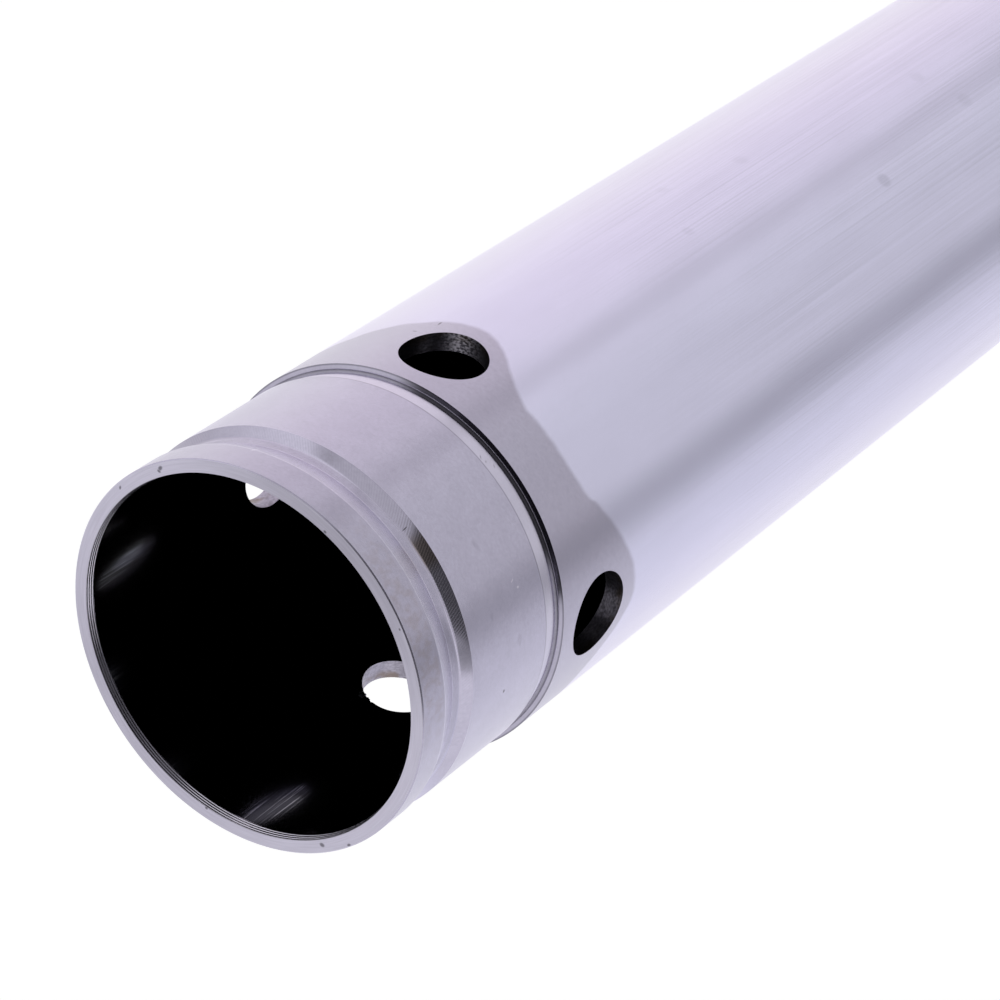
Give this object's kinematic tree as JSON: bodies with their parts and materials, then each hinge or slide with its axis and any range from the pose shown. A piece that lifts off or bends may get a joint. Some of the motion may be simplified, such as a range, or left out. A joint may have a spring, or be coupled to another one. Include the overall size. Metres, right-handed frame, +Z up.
{
  "type": "motorcycle fork tube",
  "caption": "Hard-chromed steel front fork tube, open right through, with one end turned down to seat a slide bush and ringed by cross-drilled oil holes.",
  "frame": {"origin": "centre of the plain end's face, which the tube stands on", "axes": "+Z up the tube's axis to the turned bush end; +X and +Y each through the centre of an oil hole"},
  "size_m": [0.043, 0.043, 0.6],
  "materials": {
    "plated_steel": "hard chrome ground and polished along the tube; bare satin-turned steel on the bush end"
  },
  "bodies": {
    "root": {"fork_tube": "plated_steel"}
  },
  "joints": []
}
